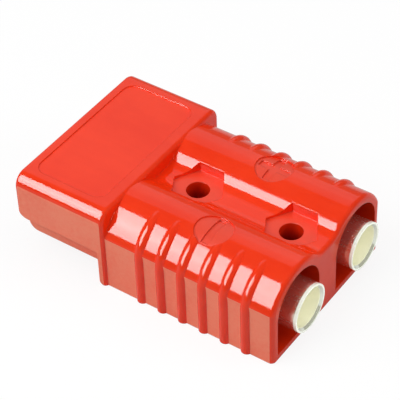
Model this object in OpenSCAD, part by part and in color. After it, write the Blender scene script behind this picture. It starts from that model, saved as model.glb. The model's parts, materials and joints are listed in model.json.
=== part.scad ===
// Genderless two-pole power connector with empty crimp contacts.
// Every drawn length is in millimetres. Pieces are drawn with X measured from the
// front face of the hood towards the cable end, Y across the poles and Z up from the
// base, and are then moved so that the origin is the middle of the two fixing holes.

/* [Housing] */
// Length of the moulding, front of the hood to the cable end
housing_l = 84.8; // [83:0.1:96]
// Width across the plain side walls
housing_w = 54; // [53:0.1:58]
// Distance between the axes of the two poles
pole_pitch = 28; // [27:0.1:30]
// Height of the pole axes above the base
pole_z = 12.2; // [11.8:0.1:13]
// Outer radius of the arch over each pole
arch_r = 14.1; // [14:0.1:14.4]
// Width of the flat floor of the valley between the arches
valley_w = 3.6; // [2:0.2:5]
// Radius that joins that floor to the arches
valley_r = 6; // [4:0.5:8]
// Rounding of the cable end's outer edges
end_r = 1.4; // [0.5:0.1:2]

/* [Hood] */
// Depth of the hood, its front face to its rounded back
hood_l = 30.4; // [28:0.1:33]
// Height of the hood above the base
hood_h = 26.6; // [26.4:0.1:28]
// How far the hood, collar and ribs stand out from the side walls
proud = 0.9; // [0.5:0.1:1.5]
// Rounding of the hood's long upper edges
hood_edge_r = 4.2; // [3.6:0.1:5]
// Rounding of the hood's back edges
hood_back_r = 1.3; // [0.5:0.1:2.2]
// Rounding of the hood's front edges
hood_front_r = 1.2; // [0.5:0.1:2]
// Thickness of the hood's side walls
hood_wall = 3; // [2.4:0.1:3.4]
// Thickness of the hood's roof
hood_roof = 4; // [3:0.1:5]
// Height of the mating plane, where the hood's side walls end
mating_z = 12; // [11.5:0.1:12.2]
// Rounding of the hood walls' lower front corners
hood_toe_r = 3.5; // [1:0.1:5]
// Thickness of the rib between the poles inside the hood
divider_t = 3.4; // [2:0.1:4]

/* [Label panel] */
// Length of the sunk panel on the hood, along X
panel_l = 23.4; // [15:0.1:24]
// Width of the sunk panel, along Y
panel_w = 45; // [30:0.1:45]
// Distance of the panel from the hood's front
panel_x = 3; // [2.5:0.1:4]
// Corner radius of the panel
panel_r = 3.5; // [1:0.1:6]
// Depth of the panel
panel_d = 0.3; // [0.1:0.1:1]

/* [Collar and noses] */
// Thickness of the collar that the mate's hood stops against
collar_t = 2.4; // [2:0.1:3.4]
// Rounding of the collar's lower front edge
foot_r = 1.4; // [0.5:0.1:2]
// Distance from the hood's front to the tips of the noses
nose_x = 0.8; // [0.5:0.1:2]
// Height of the noses' undersides above the base
nose_z = 4.9; // [4.6:0.1:5.4]
// Running clearance of a nose in the mate's hood
nose_gap = 0.6; // [0.3:0.1:1]
// Rounding of the noses' lower front corners
nose_r = 3; // [0.5:0.1:4]
// Thickness of the shelf under a spring
shelf_t = 2.1; // [1.4:0.1:2.2]
// Height of the lip at the shelf's front, which the tongue's tip catches behind
lip_h = 1.2; // [0.8:0.1:1.6]
// Thickness of that lip
lip_t = 1.4; // [1:0.1:2]

/* [Ribs] */
// Number of grip ribs on each side
rib_count = 6; // [3:1:6]
// Distance between neighbouring ribs
rib_pitch = 6.86; // [6:0.01:7.2]
// Distance of the last rib from the cable end
rib_end = 8.8; // [6:0.1:10]
// Radius of a rib's round section
rib_r = 1.7; // [1.3:0.1:2]
// Radius of the bend that carries a rib over the arch
rib_bend = 11; // [10.6:0.1:11.6]
// Height at which a rib starts to bend
rib_knee = 15; // [14.6:0.1:15.2]

/* [Chambers] */
// Half the width of a cable chamber, and the radius of its arched top
chamber_r = 10.2; // [9.8:0.1:10.4]
// Height of the axis of that arched top above the base
chamber_z = 13.6; // [12.8:0.1:13.8]
// Thickness of the web between the chambers
web_t = 8.6; // [8:0.1:9]
// Thickness of the floor under the chambers
floor_t = 1.7; // [1.2:0.1:2.2]
// Depth of the wide part of a chamber
chamber_l = 24; // [18:0.5:26]

/* [Fixings] */
// Diameter of the two fixing holes
hole_d = 6.7; // [6:0.1:7]
// Distance between the fixing holes
hole_pitch = 30.5; // [29:0.1:32]
// Distance from the hood's front to the first fixing hole
hole_x = 42.6; // [41:0.1:44]
// Size of the nut pockets across their flats
nut_af = 14; // [13:0.1:14.5]
// Depth of the nut pockets' floors below the floor of the valley
nut_d = 0.9; // [0.3:0.1:1.2]
// Diameter of the pillar around a fixing hole
pillar_d = 11; // [10.2:0.1:12]

/* [Polarity marks] */
// Distance from the hood's front to the marks
mark_x = 58.2; // [56:0.1:60]
// Distance from the middle plane to the marks
mark_y = 14.7; // [13:0.1:15]
// Diameter of the round recess of a mark
mark_d = 11; // [9:0.1:12]
// Depth of that recess
mark_recess = 0.4; // [0.2:0.1:0.6]
// Depth of the sign's grooves below the recess
sign_d = 0.5; // [0.2:0.1:0.8]
// Length of the sign's strokes
sign_l = 9.4; // [6:0.1:9.6]
// Width of the sign's strokes
sign_w = 2.4; // [1:0.1:2.6]

/* [Contacts] */
// Outer diameter of the crimp barrels
barrel_d = 14.3; // [13.6:0.1:14.6]
// Bore of the crimp barrels
barrel_bore = 11.6; // [10:0.1:12]
// Length of the crimp barrels
barrel_l = 36; // [34:0.5:38]
// Depth of the crimp bores
bore_l = 29; // [24:0.5:30]
// How far a barrel stands out of the cable end
barrel_out = 3.3; // [1:0.1:5]
// Chamfer inside a barrel's mouth
mouth_c = 0.8; // [0.3:0.1:1]
// Width of a contact tongue
tongue_w = 17; // [16:0.1:17.2]
// Thickness of a contact tongue
tongue_t = 2.6; // [2:0.1:2.8]
// Length of the slopes between barrel and tongue
neck_l = 8; // [5:0.5:9]
// Inner radius of the bend at a tongue's tip
tip_r = 0.4; // [0.2:0.1:0.8]
// Straight length below that bend
tip_l = 1.6; // [0.5:0.1:1.8]
// Distance from the hood's front to the tongue's tip
tip_x = 1.1; // [0.9:0.1:1.6]

/* [Springs] */
// Thickness of a leaf spring
spring_t = 0.5; // [0.3:0.1:0.6]
// Width of a leaf spring
spring_w = 10; // [7:0.5:12]
// Length of the bowed part of a spring
bow_l = 20; // [14:0.5:20]
// Length of the short flat in front of the bow
toe_l = 1; // [0.5:0.1:2]
// Inner radius of the bends at the bow's ends
bow_end_r = 6; // [2:0.5:8]
// Length of the flat tail that the housing holds
tail_l = 13; // [8:0.5:15]

/* [Fits] */
// Clearance around a contact in its seat
contact_gap = 0.3; // [0.2:0.05:0.4]
// Clearance around a spring
spring_gap = 0.1; // [0.05:0.05:0.2]

/* [Hidden] */
$fn = 96;

red = [0.86, 0.13, 0.07];
silver = [0.80, 0.78, 0.70];
steel = [0.66, 0.67, 0.69];

eps = 0.01;            // overlap of tools that cut through a face
far = 200;             // longer than anything here, for tools that cut right through
valley_bite = 0.06;    // overlap of the valley's curves with the arches
floor_bite = 0.02;     // overlap of those curves with the valley's floor
bow_steps = 16;        // straight steps that stand for each bend of a spring
pole_y = pole_pitch / 2;
side_y = housing_w / 2;
hood_y = side_y + proud;
origin_x = hole_x + hole_pitch / 2;
hole_xs = [hole_x, hole_x + hole_pitch];

// An arc on each side of the valley's floor meets the arch beside it
valley_y = valley_w / 2;
valley_dy = pole_y - valley_y;
valley_dz = sqrt(pow(arch_r + valley_r - valley_bite, 2) - pow(valley_dy, 2));
valley_z = pole_z + valley_dz - valley_r;
nut_z = valley_z - nut_d;
meet = arch_r / (arch_r + valley_r);
meet_y = pole_y - valley_dy * meet;
meet_z = pole_z + valley_dz * meet;

collar_x = hood_l - collar_t;
cavity_y = hood_y - hood_wall;
nose_y = cavity_y - nose_gap;
divider_y = divider_t / 2;
nose_in_y = divider_y + nose_gap;

barrel_r = barrel_d / 2;
barrel_end = housing_l + barrel_out;
barrel_x = barrel_end - barrel_l;
neck_x = barrel_x - neck_l;
chamber_x = housing_l - chamber_l;
chamber_y = web_t / 2 + chamber_r;
seat_x = neck_x - contact_gap;
seat_r = barrel_r + contact_gap;
tongue_z = mating_z - tongue_t;
slot_w = tongue_w + 2 * contact_gap;
shelf_z = nose_z + shelf_t;
tip_bend = tip_r + tongue_t;
lip_x = tip_x + tongue_t + contact_gap;

// The bow and the bends at its ends meet where the line through their axes crosses them
bow_h = tongue_z - spring_gap - spring_t - shelf_z;
spring_x = lip_x + lip_t + 2 * contact_gap;
bow_mid = spring_x + toe_l + bow_l / 2;
bow_span = (pow(bow_l / 2, 2) + pow(bow_h, 2)) / (2 * bow_h);
bow_r = bow_span - spring_t - bow_end_r;
bow_angle = asin(bow_l / 2 / bow_span);

// ---------- helpers ----------

// Moves a piece from front-face lengths to the part's own origin
module placed() {
    translate([-origin_x, 0, 0]) children();
}

// Runs a YZ outline along X
module along_x(x0, x1) {
    translate([x0, 0, 0]) rotate([90, 0, 90]) linear_extrude(x1 - x0) children();
}

// Runs an XZ outline along Y, centred on y
module along_y(y, w) {
    translate([0, y + w / 2, 0]) rotate([90, 0, 0]) linear_extrude(w) children();
}

// A round bar along X whose back edge is rounded by edge_back and front edge by edge_front
module round_bar(y, z, x0, x1, r, edge_front, edge_back) {
    len = x1 - x0;
    translate([x0, y, z]) rotate([0, 90, 0]) rotate_extrude() {
        translate([0, edge_front]) square([r, len - edge_front - edge_back]);
        square([r - edge_front, len / 2]);
        translate([0, len / 2]) square([r - edge_back, len / 2]);
        if (edge_front > 0) intersection() {
            translate([r - edge_front, edge_front]) circle(edge_front);
            square([r, len]);
        }
        intersection() {
            translate([r - edge_back, len - edge_back]) circle(edge_back);
            square([r, len]);
        }
    }
}

// Rectangle from x0 to x1 and from y0 to y1 with its two corners at x1 rounded
module back_rounded(x0, x1, y0, y1, r) {
    translate([x0, y0]) square([x1 - x0 - r, y1 - y0]);
    translate([x0, y0 + r]) square([x1 - x0, y1 - y0 - 2 * r]);
    for (y = [y0 + r, y1 - r]) translate([x1 - r, y]) circle(r);
}

// Calls its children for both poles, mirrored about the middle plane
module both_sides() {
    children();
    mirror([0, 1, 0]) children();
}

// ---------- housing, outside ----------

// The rear block: two arches on a flat base, joined by a valley
module arches() {
    intersection() {
        linear_extrude(far) back_rounded(collar_x, housing_l, -side_y, side_y, end_r);
        union() {
            both_sides() round_bar(pole_y, pole_z, collar_x, housing_l, arch_r, 0, end_r);
            along_x(collar_x, housing_l) translate([-side_y, 0]) square([housing_w, pole_z]);
            valley_web();
        }
    }
}

// The web between the arches, hollowed by the valley, whose end flares out
module valley_web() {
    half = meet_y + 0.3;
    difference() {
        along_x(collar_x, housing_l) translate([-half, 0]) square([2 * half, meet_z]);
        both_sides() translate([collar_x, valley_y, valley_z + valley_r]) rotate([0, 90, 0])
            rotate_extrude() flared(valley_r);
        along_y(0, valley_w) translate([collar_x, valley_z + valley_r]) rotate(-90)
            flared(valley_r - floor_bite);
    }
}

// Side view of a cutter that runs along the arches and flares out at the cable end
module flared(r) {
    len = housing_l - collar_x;
    square([r, len + eps]);
    difference() {
        translate([0, len - end_r]) square([r + end_r, end_r + eps]);
        translate([r + end_r, len - end_r]) circle(end_r);
    }
}

// One grip rib: an upright round bead that bends over the arch and sinks into it
module rib(x) {
    path_r = rib_bend - rib_r;
    bend_y = hood_y - rib_bend;
    translate([x, hood_y - rib_r, 0]) cylinder(r = rib_r, h = rib_knee);
    translate([x, bend_y, rib_knee]) rotate([90, 0, 90]) rotate_extrude(angle = 90)
        translate([path_r, 0]) circle(rib_r);
}

module ribs() {
    for (i = [0:rib_count - 1]) rib(housing_l - rib_end - i * rib_pitch);
}

// The hood's outside, down to the mating plane, with all its upper edges rounded
module hood_block() {
    edge_y = hood_y - hood_edge_r;
    edge_z = hood_h - hood_edge_r;
    both_sides() round_bar(edge_y, edge_z, 0, hood_l, hood_edge_r, hood_front_r, hood_back_r);
    // roof between the long edges
    along_y(0, 2 * edge_y) intersection() {
        translate([0, mating_z]) square([hood_l, hood_h - mating_z]);
        union() {
            back_rounded(hood_l / 2, hood_l, 0, hood_h, hood_back_r);
            mirror([1, 0]) back_rounded(-hood_l / 2, 0, 0, hood_h, hood_front_r);
        }
    }
    // side walls below the long edges
    translate([0, 0, mating_z]) linear_extrude(edge_z - mating_z) {
        back_rounded(hood_l / 2, hood_l, -hood_y, hood_y, hood_back_r);
        mirror([1, 0]) back_rounded(-hood_l / 2, 0, -hood_y, hood_y, hood_front_r);
    }
}

// Rounds a lower front edge that runs across the part at x and z
module toe_cut(x, z, r) {
    along_y(0, far) translate([x, z]) difference() {
        translate([-eps, -eps]) square(r + eps);
        translate([r, r]) circle(r);
    }
}

// The room inside the hood, open at the front and below the mating plane
module hood_cavity() {
    top = hood_h - hood_roof;
    r = hood_edge_r - hood_wall;
    along_x(-eps, collar_x) difference() {
        union() {
            translate([-cavity_y, mating_z - eps]) square([2 * cavity_y, top - r - mating_z + eps]);
            translate([r - cavity_y, mating_z]) square([2 * (cavity_y - r), top - mating_z]);
            for (s = [-1, 1]) translate([s * (cavity_y - r), top - r]) circle(r);
        }
        translate([-divider_y, 0]) square([divider_t, hood_h]);
    }
}

// The sunk panel on the roof
module label_panel() {
    translate([panel_x, -panel_w / 2, hood_h - panel_d]) linear_extrude(hood_roof) {
        translate([panel_r, 0]) square([panel_l - 2 * panel_r, panel_w]);
        translate([0, panel_r]) square([panel_l, panel_w - 2 * panel_r]);
        for (x = [panel_r, panel_l - panel_r], y = [panel_r, panel_w - panel_r])
            translate([x, y]) circle(panel_r);
    }
}

// The collar below the hood's back, in line with the hood's sides
module collar() {
    linear_extrude(mating_z + eps) back_rounded(collar_x, hood_l, -hood_y, hood_y, hood_back_r);
}

// One nose: a shelf with cheeks that carries a contact tongue below the mating plane
module nose() {
    nose_w = nose_y - nose_in_y;
    nose_l = collar_x + eps - nose_x;
    nose_h = mating_z - nose_gap / 2 - nose_z;
    slot_y = pole_y - slot_w / 2;
    difference() {
        along_y(nose_in_y + nose_w / 2, nose_w) translate([nose_x, nose_z]) {
            translate([nose_r, 0]) square([nose_l - nose_r, nose_h]);
            translate([0, nose_r]) square([nose_l, nose_h - nose_r]);
            translate([nose_r, nose_r]) circle(nose_r);
        }
        // room for the tongue, for the spring behind the lip and for the tip in front of it
        translate([-eps, slot_y, shelf_z + lip_h]) cube([far, slot_w, far]);
        translate([lip_x + lip_t, slot_y, shelf_z]) cube([far, slot_w, far]);
        translate([-eps, slot_y, 0]) cube([lip_x + eps, slot_w, far]);
    }
}

// ---------- housing, inside ----------

// One pole's passage: a wide chamber, the barrel's seat and the tongue's slot
module passage() {
    along_x(chamber_x, housing_l + eps) intersection() {
        union() {
            translate([chamber_y, chamber_z]) circle(chamber_r);
            translate([chamber_y - chamber_r, 0]) square([2 * chamber_r, chamber_z]);
        }
        translate([0, floor_t]) square(far);
    }
    along_x(seat_x, chamber_x + eps) translate([pole_y, pole_z]) circle(seat_r);
    along_x(collar_x - eps, chamber_x + eps) translate([pole_y - slot_w / 2, shelf_z])
        square([slot_w, mating_z + contact_gap - shelf_z]);
}

// Pillars that carry the fixing holes down past the chambers
module pillars() {
    for (x = hole_xs) translate([x, 0, 0]) cylinder(d = pillar_d, h = nut_z);
}

module fixing_holes() {
    for (x = hole_xs) translate([x, 0, 0]) {
        translate([0, 0, -eps]) cylinder(d = hole_d, h = far);
        translate([0, 0, nut_z]) linear_extrude(far) circle(d = nut_af / cos(30), $fn = 6);
    }
}

// A round recess that follows the arch, with a sign engraved in it
module mark(side, is_plus) {
    translate([mark_x, side * mark_y, pole_z]) {
        difference() {
            cylinder(d = mark_d, h = far);
            under_arch(side, mark_recess);
        }
        difference() {
            linear_extrude(far) {
                square([sign_w, sign_l], center = true);
                if (is_plus) square([sign_l, sign_w], center = true);
            }
            under_arch(side, mark_recess + sign_d);
        }
    }
}

// What a mark leaves standing: the arch below the given depth
module under_arch(side, depth) {
    translate([0, side * (pole_y - mark_y), 0]) rotate([0, 90, 0])
        cylinder(r = arch_r - depth, h = far, center = true);
}

module housing() {
    color(red) placed() difference() {
        union() {
            difference() {
                union() {
                    arches();
                    both_sides() ribs();
                    hood_block();
                    collar();
                }
                hood_cavity();
                toe_cut(0, mating_z, hood_toe_r);
                toe_cut(collar_x, 0, foot_r);
                label_panel();
                both_sides() passage();
            }
            both_sides() nose();
            pillars();
        }
        fixing_holes();
        mark(1, true);
        mark(-1, false);
    }
}

// ---------- contacts ----------

// A crimp barrel drawn out into a flat tongue with a turned-down tip
module contact() {
    tongue_x = tip_x + tip_bend;
    difference() {
        union() {
            translate([barrel_x, pole_y, pole_z]) rotate([0, 90, 0]) cylinder(r = barrel_r, h = barrel_l);
            neck();
            translate([tongue_x, pole_y - tongue_w / 2, tongue_z])
                cube([barrel_x - tongue_x, tongue_w, tongue_t]);
            tip();
        }
        translate([barrel_end - bore_l, pole_y, pole_z]) rotate([0, 90, 0])
            cylinder(d = barrel_bore, h = far);
        translate([barrel_end - mouth_c, pole_y, pole_z]) rotate([0, 90, 0])
            cylinder(d1 = barrel_bore, d2 = barrel_bore + 2 * mouth_c + 2 * eps, h = mouth_c + eps);
    }
}

// The slopes from the round barrel down and up to the flat tongue
module neck() {
    intersection() {
        translate([neck_x, pole_y, pole_z]) rotate([0, 90, 0])
            cylinder(r = barrel_r, h = neck_l + eps);
        along_y(pole_y, barrel_d) polygon([
            [neck_x, tongue_z],
            [neck_x, mating_z],
            [barrel_x + eps, pole_z + barrel_r],
            [barrel_x + eps, pole_z - barrel_r]
        ]);
    }
}

// The tongue's tip, bent down over the front of the shelf
module tip() {
    translate([tip_x + tip_bend, pole_y, mating_z - tip_bend]) rotate([90, 0, 0]) {
        intersection() {
            difference() {
                cylinder(r = tip_bend, h = tongue_w, center = true);
                cylinder(r = tip_r, h = far, center = true);
            }
            translate([-tip_bend, 0, -tongue_w]) cube([tip_bend + eps, tip_bend, 2 * tongue_w]);
        }
        translate([-tip_bend, -tip_l, -tongue_w / 2]) cube([tongue_t, tip_l + eps, tongue_w]);
    }
}

module positive_contact() {
    color(silver) placed() contact();
}

module negative_contact() {
    color(silver) placed() mirror([0, 1, 0]) contact();
}

// ---------- springs ----------

// A leaf spring: a bow that presses the tongue up, between a short toe and a long tail
module spring() {
    top = spring_line(spring_t);
    upside = [for (i = [len(top) - 1:-1:0]) top[i]];
    along_y(pole_y, spring_w) translate([0, shelf_z]) polygon(concat(spring_line(0), upside));
}

// The spring's side view: the line that lies d above its underside
function spring_line(d) = concat(
    [[spring_x, d]],
    arc(bow_mid - bow_l / 2, spring_t + bow_end_r, spring_t + bow_end_r - d, 270, 270 + bow_angle, 0),
    arc(bow_mid, bow_h - bow_r, bow_r + d, 90 + bow_angle, 90 - bow_angle, 1),
    arc(bow_mid + bow_l / 2, spring_t + bow_end_r, spring_t + bow_end_r - d, 270 - bow_angle, 270, 0),
    [[bow_mid + bow_l / 2 + tail_l, d]]
);

// Points on an arc about x and z, leaving out as many at each end as skip says
function arc(x, z, r, from, to, skip) = [
    for (i = [skip:bow_steps - skip])
        let (a = from + (to - from) * i / bow_steps) [x + r * cos(a), z + r * sin(a)]
];

module positive_spring() {
    color(steel) placed() spring();
}

module negative_spring() {
    color(steel) placed() mirror([0, 1, 0]) spring();
}

housing();
positive_contact();
negative_contact();
positive_spring();
negative_spring();
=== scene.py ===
"""Dresses a genderless power connector: glossy red moulding, silver-plated contacts, steel leaf springs.

The five CAD solids show as they are. This script gives them procedural materials, sets them on a pale
floor in plain studio light, and looks at them through a long lens. Lengths are in metres.
"""
import json
import math

import bpy
from mathutils import Matrix, Vector


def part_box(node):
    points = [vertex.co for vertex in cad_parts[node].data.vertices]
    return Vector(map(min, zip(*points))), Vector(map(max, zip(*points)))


MM = 0.001


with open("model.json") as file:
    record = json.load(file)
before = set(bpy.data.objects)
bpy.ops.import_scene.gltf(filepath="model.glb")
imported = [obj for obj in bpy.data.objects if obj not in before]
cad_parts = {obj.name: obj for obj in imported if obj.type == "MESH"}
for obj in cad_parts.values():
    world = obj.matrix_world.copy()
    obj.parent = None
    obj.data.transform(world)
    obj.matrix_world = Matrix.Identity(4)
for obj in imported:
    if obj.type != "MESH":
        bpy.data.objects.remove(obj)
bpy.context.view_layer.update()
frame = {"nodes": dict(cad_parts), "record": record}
nodes = frame["nodes"]
scene = bpy.context.scene


# ---------- places on the part ----------

mounts = {mount["name"]: mount for mount in frame["record"]["mounts"]}
housing_lo, housing_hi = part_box("housing")

# the poles' axes and the bores of the contacts' barrels
_, POLE_Y, POLE_Z = mounts["positive_crimp_bore"]["pos_m"]
BORE_R = mounts["positive_crimp_bore"]["dims"]["r_mm"] * MM
BORE_START = 1.25 * MM
BARREL_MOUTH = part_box("positive_contact")[1].x

# the fixing holes, whose walls get painted shade, darkest up to the first height and lighter up to the second
HOLE_X = mounts["fixing_holes"]["dims"]["spacing_x_mm"] * MM / 2
HOLE_R = mounts["fixing_holes"]["dims"]["hole_r_mm"] * MM
HOLE_DARK = 14.0 * MM
HOLE_LIT = 20.9 * MM

# the sunk panel on the hood's roof
PANEL_FRONT = housing_lo.x + 3.0 * MM
PANEL_BACK = PANEL_FRONT + 23.4 * MM
PANEL_SIDE = 22.5 * MM
PANEL_FLOOR = housing_hi.z - 0.3 * MM

# along the part: where the noses end and where the ribbed block begins
COLLAR_FRONT = housing_lo.x + 28.0 * MM
HOOD_BACK = housing_lo.x + 30.4 * MM

# away from the middle plane: a little inside the noses' sides and the side walls, and just past those walls
NOSE_Y = 22.0 * MM
WALL_Y = 26.0 * MM
RIB_Y = 27.05 * MM

# the noses' sides are satin, with the paler painted sheen, up to this height
NOSE_SATIN_TOP = 9.0 * MM

# the round polarity marks
MARK_X = 0.35 * MM
MARK_Y = 14.7 * MM
MARK_R = 5.5 * MM
MARK_LOW = 20.0 * MM

# the floors of the nut pockets, with a little room around and above them
POCKET_R = 8.0 * MM
POCKET_LOW = 21.0 * MM
POCKET_HIGH = 21.45 * MM


# ---------- shader helpers ----------

class Tree:
    """A short way to write a shader's nodes and links."""

    def __init__(self, holder):
        holder.use_nodes = True
        self.tree = holder.node_tree
        self.tree.nodes.clear()

    def node(self, kind, values=None, **props):
        new = self.tree.nodes.new(kind)
        for key, value in props.items():
            setattr(new, key, value)
        for key, value in (values or {}).items():
            self.put(new.inputs[key], value)
        return new

    def put(self, socket, value):
        if isinstance(value, bpy.types.NodeSocket):
            self.tree.links.new(value, socket)
        else:
            socket.default_value = value

    def calc(self, operation, a, b=0.0, clamp=False):
        return self.node("ShaderNodeMath", {0: a, 1: b}, operation=operation, use_clamp=clamp).outputs[0]

    def plus(self, a, b):
        return self.calc("ADD", a, b)

    def minus(self, a, b, clamp=False):
        return self.calc("SUBTRACT", a, b, clamp)

    def times(self, first, *others):
        for other in others:
            first = self.calc("MULTIPLY", first, other)
        return first

    def absolute(self, a):
        return self.calc("ABSOLUTE", a)

    def reach(self, a, b):
        """The distance that two offsets at right angles make."""
        return self.calc("SQRT", self.plus(self.times(a, a), self.times(b, b)))

    def blend(self, a, b, share):
        """The given share of a, with the rest made up of b."""
        return self.plus(self.times(a, share), self.times(b, 1.0 - share))

    def ramp(self, value, low, high, to_low=0.0, to_high=1.0):
        """value between low and high, mapped smoothly to between to_low and to_high."""
        return self.node("ShaderNodeMapRange", {
            "Value": value, "From Min": low, "From Max": high, "To Min": to_low, "To Max": to_high,
        }, interpolation_type="SMOOTHSTEP", clamp=True).outputs["Result"]

    def fall(self, value, low, high):
        """1 up to low, and 0 from high on."""
        return self.ramp(value, low, high, 1.0, 0.0)

    def between(self, value, low, high, fade):
        """1 from low to high, fading out over the last stretch at each end."""
        return self.times(self.ramp(value, low, low + fade), self.fall(value, high - fade, high))

    def noise(self, vector, scale, detail, roughness):
        return self.node("ShaderNodeTexNoise", {
            "Vector": vector, "Scale": scale, "Detail": detail, "Roughness": roughness,
        }).outputs["Fac"]

    def drawn_noise(self, vector, scales, detail, roughness):
        """Noise with a scale of its own along each axis, for streaks."""
        stretched = self.node("ShaderNodeMapping", {"Vector": vector, "Scale": scales}).outputs["Vector"]
        return self.noise(stretched, 1.0, detail, roughness)

    def mix_colour(self, share, a, b):
        return self.node("ShaderNodeMix", {0: share, 6: a, 7: b}, data_type="RGBA").outputs[2]

    def bevel(self, radius, samples):
        """A normal that rounds off sharp edges."""
        return self.node("ShaderNodeBevel", {"Radius": radius}, samples=samples).outputs["Normal"]

    def bump(self, height, distance, strength=1.0, normal=None):
        """A normal that shows a relief of the given depth, on top of another normal if there is one."""
        values = {"Height": height, "Distance": distance, "Strength": strength}
        if normal is not None:
            values["Normal"] = normal
        return self.node("ShaderNodeBump", values).outputs["Normal"]

    def point(self):
        """The place on the part in its own frame, as a vector and as x, y and z."""
        vector = self.node("ShaderNodeTexCoord").outputs["Object"]
        split = self.node("ShaderNodeSeparateXYZ", {"Vector": vector})
        return vector, split.outputs["X"], split.outputs["Y"], split.outputs["Z"]

    def finish(self, shader, kind="ShaderNodeOutputMaterial"):
        self.tree.links.new(shader.outputs[0], self.node(kind).inputs["Surface"])


def new_material(name):
    mat = bpy.data.materials.new(name)
    return mat, Tree(mat)


# ---------- red plastic ----------

RED = (0.90, 0.040, 0.006, 1.0)
RED_DEEP = (0.84, 0.030, 0.003, 1.0)
# the next colour is painted sheen: a paler salmon on the upright sides that stands in for the floor's
# reflection
RED_PAINTED_SHEEN = (0.90, 0.228, 0.132, 1.0)
RED_MATT = (0.76, 0.060, 0.027, 1.0)
# the next colour is painted shade for the walls of the fixing holes
RED_PAINTED_SHADE = (0.30, 0.001, 0.001, 1.0)

# roughness of the plain gloss, from smooth to scuffed, and what the eroded and satin places add to it
GLOSS_SMOOTH = 0.06
GLOSS_SCUFFED = 0.13
ERODED_ADDS = 0.28
SATIN_ADDS = 0.24

# the rounding of the moulding's sharp edges, and the depth of its unevenness and grain
MOULD_EDGE_R = 0.32 * MM
MOULD_RELIEF = 0.01 * MM


def panel_area(t, x, y, z):
    """The floor of the sunk panel on the hood."""
    along = t.between(x, PANEL_FRONT - 0.05 * MM, PANEL_BACK + 0.05 * MM, 0.2 * MM)
    across = t.fall(t.absolute(y), PANEL_SIDE - 0.1 * MM, PANEL_SIDE)
    return t.times(along, across, t.between(z, PANEL_FLOOR - 0.1 * MM, PANEL_FLOOR + 0.2 * MM, 0.05 * MM))


def side_area(t, x, y, z):
    """The flat outer sides of the block, hood, collar and noses, without the crowns of the ribs."""
    normal = t.node("ShaderNodeTexCoord").outputs["Normal"]
    across = t.node("ShaderNodeSeparateXYZ", {"Vector": normal}).outputs["Y"]
    upright = t.ramp(t.absolute(across), 0.965, 0.985)
    on_nose = t.times(t.calc("LESS_THAN", x, COLLAR_FRONT), t.calc("LESS_THAN", z, NOSE_SATIN_TOP))
    innermost = t.ramp(on_nose, 0.0, 1.0, WALL_Y, NOSE_Y)
    outside = t.calc("GREATER_THAN", t.absolute(y), innermost)
    past_wall = t.ramp(t.absolute(y), RIB_Y, RIB_Y + 0.15 * MM)
    on_rib = t.times(t.calc("GREATER_THAN", x, HOOD_BACK), past_wall)
    return t.times(upright, outside, t.minus(1.0, on_rib))


def matt_area(t, x, y, z, from_hole):
    """The polarity marks and the floors of the nut pockets."""
    from_mark = t.reach(t.minus(x, MARK_X), t.minus(t.absolute(y), MARK_Y))
    mark = t.times(t.fall(from_mark, MARK_R - 0.1 * MM, MARK_R), t.ramp(z, MARK_LOW, MARK_LOW + 0.1 * MM))
    around = t.fall(from_hole, POCKET_R, POCKET_R + 0.2 * MM)
    pocket = t.times(around, t.between(z, POCKET_LOW, POCKET_HIGH, 0.1 * MM))
    return t.calc("MAXIMUM", mark, pocket)


def hole_painted_shade(t, z, from_hole):
    """Painted shade on the walls of the fixing holes, darkest low down, where the light reaches least."""
    wall = t.fall(from_hole, HOLE_R + 0.05 * MM, HOLE_R + 0.25 * MM)
    depth = t.ramp(z, HOLE_DARK, HOLE_LIT, 1.0, 0.25)
    return t.times(wall, depth, t.fall(z, POCKET_LOW, POCKET_LOW + 0.2 * MM))


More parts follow.
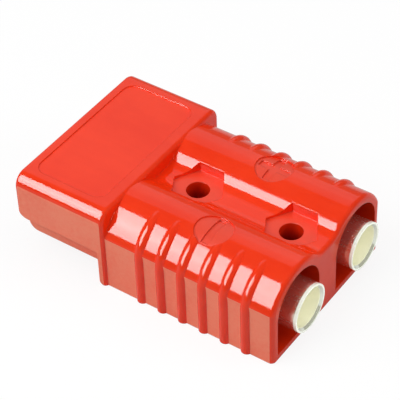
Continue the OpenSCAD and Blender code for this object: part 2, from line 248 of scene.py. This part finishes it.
def red_plastic():
    """Moulded plastic: glossy on the rounds, satin on the flat sides and eroded on the sunk panel. The flat
    sides also carry a paler painted sheen, and the fixing holes' walls carry painted shade.
    """
    mat, t = new_material("red_plastic_dressed")
    point, x, y, z = t.point()
    from_hole = t.reach(t.minus(t.absolute(x), HOLE_X), y)
    panel = panel_area(t, x, y, z)
    side = side_area(t, x, y, z)
    matt = matt_area(t, x, y, z, from_hole)

    # scales are in waves a metre: clouds, flow marks along X, scuffs along Y, fine grain, slight unevenness
    cloud = t.noise(point, 38.0, 4.0, 0.6)
    flow = t.drawn_noise(point, (40.0, 260.0, 260.0), 3.0, 0.55)
    scuff = t.drawn_noise(point, (900.0, 150.0, 900.0), 5.0, 0.7)
    grain = t.noise(point, 5200.0, 2.0, 0.7)
    peel = t.noise(point, 420.0, 2.0, 0.5)

    colour = t.mix_colour(t.ramp(t.blend(cloud, flow, 0.7), 0.35, 0.65), RED_DEEP, RED)
    # painted sheen: the upright sides get the paler salmon in place of the floor's reflection, made patchy by
    # the scuff and cloud noise
    sheen_patches = t.ramp(t.blend(scuff, cloud, 0.5), 0.38, 0.6, 0.66, 1.0)
    colour = t.mix_colour(t.times(side, sheen_patches), colour, RED_PAINTED_SHEEN)
    colour = t.mix_colour(t.times(matt, 0.7), colour, RED_MATT)
    # painted shade: the walls of the fixing holes darken towards the bottom
    colour = t.mix_colour(t.times(hole_painted_shade(t, z, from_hole), 0.85), colour, RED_PAINTED_SHADE)

    gloss = t.ramp(scuff, 0.35, 0.75, GLOSS_SMOOTH, GLOSS_SCUFFED)
    satin = t.calc("MAXIMUM", side, matt)
    rough = t.plus(t.plus(gloss, t.times(panel, ERODED_ADDS)), t.times(satin, SATIN_ADDS))

    # grain is strong on the panel and the sides, and only just there elsewhere
    uneven = t.bump(peel, MOULD_RELIEF, 0.3, t.bevel(MOULD_EDGE_R, 8))
    grainy = t.plus(t.times(t.plus(panel, side), 0.9), 0.06)
    fine = t.bump(t.times(grain, grainy), MOULD_RELIEF, 1.0, uneven)
    t.finish(t.node("ShaderNodeBsdfPrincipled", {
        "Base Color": colour, "Roughness": rough, "IOR": 1.45, "Specular IOR Level": 0.5, "Normal": fine,
    }))
    return mat


# ---------- metals ----------

SILVER = (0.90, 0.86, 0.80, 1.0)
SILVER_WARM = (0.90, 0.84, 0.70, 1.0)
# the next two colours are painted light: a near-white cream for the inside of the bore, and a pale band at
# the mouth for the rim's bright reflections
BORE_PAINTED_LIGHT = (0.99, 0.98, 0.76, 1.0)
RIM_PAINTED_REFLECTION = (0.90, 0.95, 0.85, 1.0)
STEEL = (0.62, 0.62, 0.63, 1.0)
STEEL_WARM = (0.54, 0.53, 0.52, 1.0)

# how metallic the plating looks where it is bright and where it is pale
METAL_BRIGHT = 0.97
METAL_PALE = 0.24

# the rounding of the contacts' sharp edges, and the depth of the metals' fine relief
PLATE_EDGE_R = 0.12 * MM
PLATE_RELIEF = 0.006 * MM
STEEL_RELIEF = 0.004 * MM


def silver_plate():
    """Silver plate, bright outside, pale and dull in the bore, with a turned rim at the mouth. The bore's
    pale cream is painted light, and the rim's pale band is painted reflection.
    """
    mat, t = new_material("silver_plate_dressed")
    point, x, y, z = t.point()
    radius = t.reach(t.minus(t.absolute(y), POLE_Y), t.minus(z, POLE_Z))
    past_floor = t.ramp(x, BORE_START - 0.25 * MM, BORE_START - 0.15 * MM)
    in_bore = t.times(t.fall(radius, BORE_R + 0.1 * MM, BORE_R + 0.2 * MM), past_floor)
    rim = t.ramp(x, BARREL_MOUTH - 0.95 * MM, BARREL_MOUTH - 0.75 * MM)
    chamfer = t.times(rim, t.fall(radius, BORE_R + 0.75 * MM, BORE_R + 0.8 * MM))
    chamfer = t.times(chamfer, t.ramp(radius, BORE_R + 0.02 * MM, BORE_R + 0.06 * MM))
    pale = t.minus(t.calc("MAXIMUM", in_bore, rim), t.times(chamfer, 0.8), clamp=True)

    cloud = t.noise(point, 150.0, 4.0, 0.6)
    streak = t.drawn_noise(point, (60.0, 1400.0, 1400.0), 4.0, 0.6)
    speck = t.noise(point, 3000.0, 2.0, 0.8)

    colour = t.mix_colour(t.ramp(cloud, 0.35, 0.7), SILVER, SILVER_WARM)
    # painted reflection: a pale greenish band at the mouth stands in for the rim's bright reflections
    colour = t.mix_colour(rim, colour, RIM_PAINTED_REFLECTION)
    # painted light: a near-white cream in the bore stands in for the light inside it
    colour = t.mix_colour(in_bore, colour, BORE_PAINTED_LIGHT)
    metal = t.minus(METAL_BRIGHT, t.times(pale, METAL_BRIGHT - METAL_PALE))

    rough = t.plus(t.ramp(t.blend(streak, speck, 0.4), 0.35, 0.65, 0.16, 0.28), t.times(in_bore, 0.3))
    rough = t.minus(rough, t.times(chamfer, 0.12), clamp=True)

    smooth = t.minus(1.0, t.times(rim, 0.85))
    relief = t.times(t.blend(streak, speck, 0.6), smooth)
    fine = t.bump(relief, PLATE_RELIEF, 1.0, t.bevel(PLATE_EDGE_R, 6))
    t.finish(t.node("ShaderNodeBsdfPrincipled", {
        "Base Color": colour, "Metallic": metal, "Roughness": rough, "Normal": fine,
    }))
    return mat


def spring_steel():
    """Rolled strip, with fine lines along its length."""
    mat, t = new_material("spring_steel_dressed")
    point = t.node("ShaderNodeTexCoord").outputs["Object"]
    grain = t.drawn_noise(point, (120.0, 3000.0, 3000.0), 4.0, 0.6)
    cloud = t.noise(point, 200.0, 3.0, 0.5)
    colour = t.mix_colour(t.ramp(cloud, 0.3, 0.7), STEEL, STEEL_WARM)
    rough = t.ramp(grain, 0.3, 0.7, 0.22, 0.38)
    fine = t.bump(grain, STEEL_RELIEF)
    t.finish(t.node("ShaderNodeBsdfPrincipled", {
        "Base Color": colour, "Metallic": 1.0, "Roughness": rough, "Normal": fine,
    }))
    return mat


def dress_nodes():
    """Gives each solid the finish that the last word of its name calls for."""
    finishes = {"housing": red_plastic(), "contact": silver_plate(), "spring": spring_steel()}
    for name, node in nodes.items():
        for slot in node.material_slots:
            slot.material = finishes[name.split("_")[-1]]


# ---------- floor and world ----------

WHITE = (1.0, 1.0, 1.0, 1.0)
FLOOR_GREY = (0.62, 0.61, 0.59, 1.0)
ROOM_GREY = (0.22, 0.22, 0.22, 1.0)
ROOM_MIRRORED = (0.28, 0.26, 0.20, 1.0)
FLOOR_SIZE = 8.0
FLOOR_Z = -0.2 * MM

# how much of the floor glows white, to the camera and in mirrored rays; the rest takes light and shadow
WHITE_TO_CAMERA = 0.87
WHITE_MIRRORED = 0.15


def plain_floor():
    """A pale floor: near white to the camera, with the part's shadow, and greyer to all other rays."""
    bpy.ops.mesh.primitive_plane_add(size=FLOOR_SIZE, location=(0.0, 0.0, FLOOR_Z))
    floor = bpy.context.object
    floor.name = "floor"
    mat, t = new_material("pale_floor")
    path = t.node("ShaderNodeLightPath").outputs
    mirrored = t.calc("MAXIMUM", path["Is Glossy Ray"], path["Is Transmission Ray"])
    glowing = t.plus(t.times(path["Is Camera Ray"], WHITE_TO_CAMERA), t.times(mirrored, WHITE_MIRRORED))
    paint = t.mix_colour(path["Is Camera Ray"], FLOOR_GREY, WHITE)
    diffuse = t.node("ShaderNodeBsdfDiffuse", {"Color": paint})
    white = t.node("ShaderNodeEmission", {"Color": WHITE, "Strength": 1.0})
    t.finish(t.node("ShaderNodeMixShader", {0: glowing, 1: diffuse.outputs[0], 2: white.outputs[0]}))
    floor.data.materials.append(mat)


def plain_world():
    """A dim even room that is white to the camera."""
    world = bpy.data.worlds.new("studio")
    scene.world = world
    t = Tree(world)
    path = t.node("ShaderNodeLightPath").outputs
    room = t.mix_colour(path["Is Glossy Ray"], ROOM_GREY, ROOM_MIRRORED)
    colour = t.mix_colour(path["Is Camera Ray"], room, WHITE)
    t.finish(t.node("ShaderNodeBackground", {"Color": colour, "Strength": 1.0}), "ShaderNodeOutputWorld")


# ---------- lights ----------

LIT_POINT = Vector((-10.0, 0.0, 15.0)) * MM
LAMP_DISTANCE = 0.8
CONTACTS = ["positive_contact", "negative_contact"]


def face_part(obj, azimuth, elevation, distance):
    """Hangs a lamp or card round the part, facing it. Azimuth is counted from +X towards +Y."""
    a, e = math.radians(azimuth), math.radians(elevation)
    away = Vector((math.cos(a) * math.cos(e), math.sin(a) * math.cos(e), math.sin(e)))
    obj.location = LIT_POINT + away * distance
    obj.rotation_mode = "QUATERNION"
    obj.rotation_quaternion = (-away).to_track_quat("-Z", "Y")


def keep_to(obj, names):
    """Lets a lamp or card light only the named nodes, or all if none is named."""
    if names:
        lit = bpy.data.collections.new(obj.name + "_lights")
        for name in names:
            lit.objects.link(nodes[name])
        obj.light_linking.receiver_collection = lit


def panel_light(name, azimuth, elevation, side, radiance, only=()):
    """A soft square lamp for the plain light. It leaves no highlight: those come from the softboxes."""
    lamp = bpy.data.lights.new(name, "AREA")
    lamp.size = side
    lamp.energy = radiance * math.pi * side * side
    obj = bpy.data.objects.new(name, lamp)
    scene.collection.objects.link(obj)
    face_part(obj, azimuth, elevation, LAMP_DISTANCE)
    obj.visible_glossy = False
    keep_to(obj, only)


def softbox(name, azimuth, elevation, distance, size, radiance, only=()):
    """A glowing card that shows only in the gloss, brightest at its middle as a softbox is."""
    bpy.ops.mesh.primitive_plane_add(size=1.0)
    card = bpy.context.object
    card.name = name
    card.scale = (*size, 1.0)
    face_part(card, azimuth, elevation, distance)
    mat, t = new_material(name)
    spot = t.node("ShaderNodeTexCoord").outputs["Generated"]
    from_middle = t.node("ShaderNodeVectorMath", {0: spot, 1: (0.5, 0.5, 0.0)}, operation="DISTANCE")
    falling = t.ramp(from_middle.outputs["Value"], 0.1, 0.75, 1.1, 0.72)
    cloth = t.ramp(t.noise(spot, 2.5, 2.0, 0.5), 0.3, 0.7, 0.88, 1.12)
    strength = t.times(falling, cloth, radiance)
    t.finish(t.node("ShaderNodeEmission", {"Color": WHITE, "Strength": strength}))
    card.data.materials.append(mat)
    card.visible_camera = False
    card.visible_diffuse = False
    card.visible_shadow = False
    keep_to(card, only)


def studio_lights():
    softbox("softbox_near", -118.0, 38.0, distance=0.75, size=(0.60, 0.72), radiance=19.0, only=["housing"])
    softbox("softbox_back", 126.0, 38.0, distance=0.9, size=(1.0, 0.62), radiance=1.1)
    panel_light("key_left", -125.0, 44.0, side=0.7, radiance=3.0)
    panel_light("overhead", 60.0, 76.0, side=0.9, radiance=1.0)
    panel_light("fill_right", 24.0, 28.0, side=0.4, radiance=3.0)
    panel_light("fill_bores", -25.0, 22.0, side=0.5, radiance=6.2, only=CONTACTS)


# ---------- camera ----------

# the direction that the camera looks from, its tilt, and its place off the point that it aims at
VIEW_AZIMUTH = math.radians(36.288)
VIEW_ELEVATION = math.radians(42.548)
VIEW_ROLL = math.radians(-2.2096)
VIEW_AIM = Vector((-12.75, 0.0, 10.0)) * MM
VIEW_BACK = 490.598 * MM
VIEW_RIGHT = -1.845 * MM
VIEW_UP = 6.395 * MM
LENS_MM = 157.87
SENSOR_MM = 36.0


def photo_camera():
    """A long lens above the cable end and the minus pole's side, set from the part's edges in perspective."""
    flat = math.cos(VIEW_ELEVATION)
    back = Vector((math.sin(VIEW_AZIMUTH) * flat, -math.cos(VIEW_AZIMUTH) * flat, math.sin(VIEW_ELEVATION)))
    level = Vector((math.cos(VIEW_AZIMUTH), math.sin(VIEW_AZIMUTH), 0.0))
    tilted = back.cross(level)
    right = math.cos(VIEW_ROLL) * level + math.sin(VIEW_ROLL) * tilted
    up = math.cos(VIEW_ROLL) * tilted - math.sin(VIEW_ROLL) * level
    spot = VIEW_AIM + VIEW_BACK * back + VIEW_RIGHT * right + VIEW_UP * up
    lens = bpy.data.cameras.new("photo_camera")
    lens.sensor_width = SENSOR_MM
    lens.lens = LENS_MM
    lens.clip_start, lens.clip_end = 0.01, 20.0
    cam = bpy.data.objects.new("photo_camera", lens)
    scene.collection.objects.link(cam)
    cam.matrix_world = Matrix.Translation(spot) @ Matrix((right, up, back)).transposed().to_4x4()
    scene.camera = cam


dress_nodes()
plain_floor()
plain_world()
studio_lights()
photo_camera()
scene.view_settings.view_transform = "Standard"
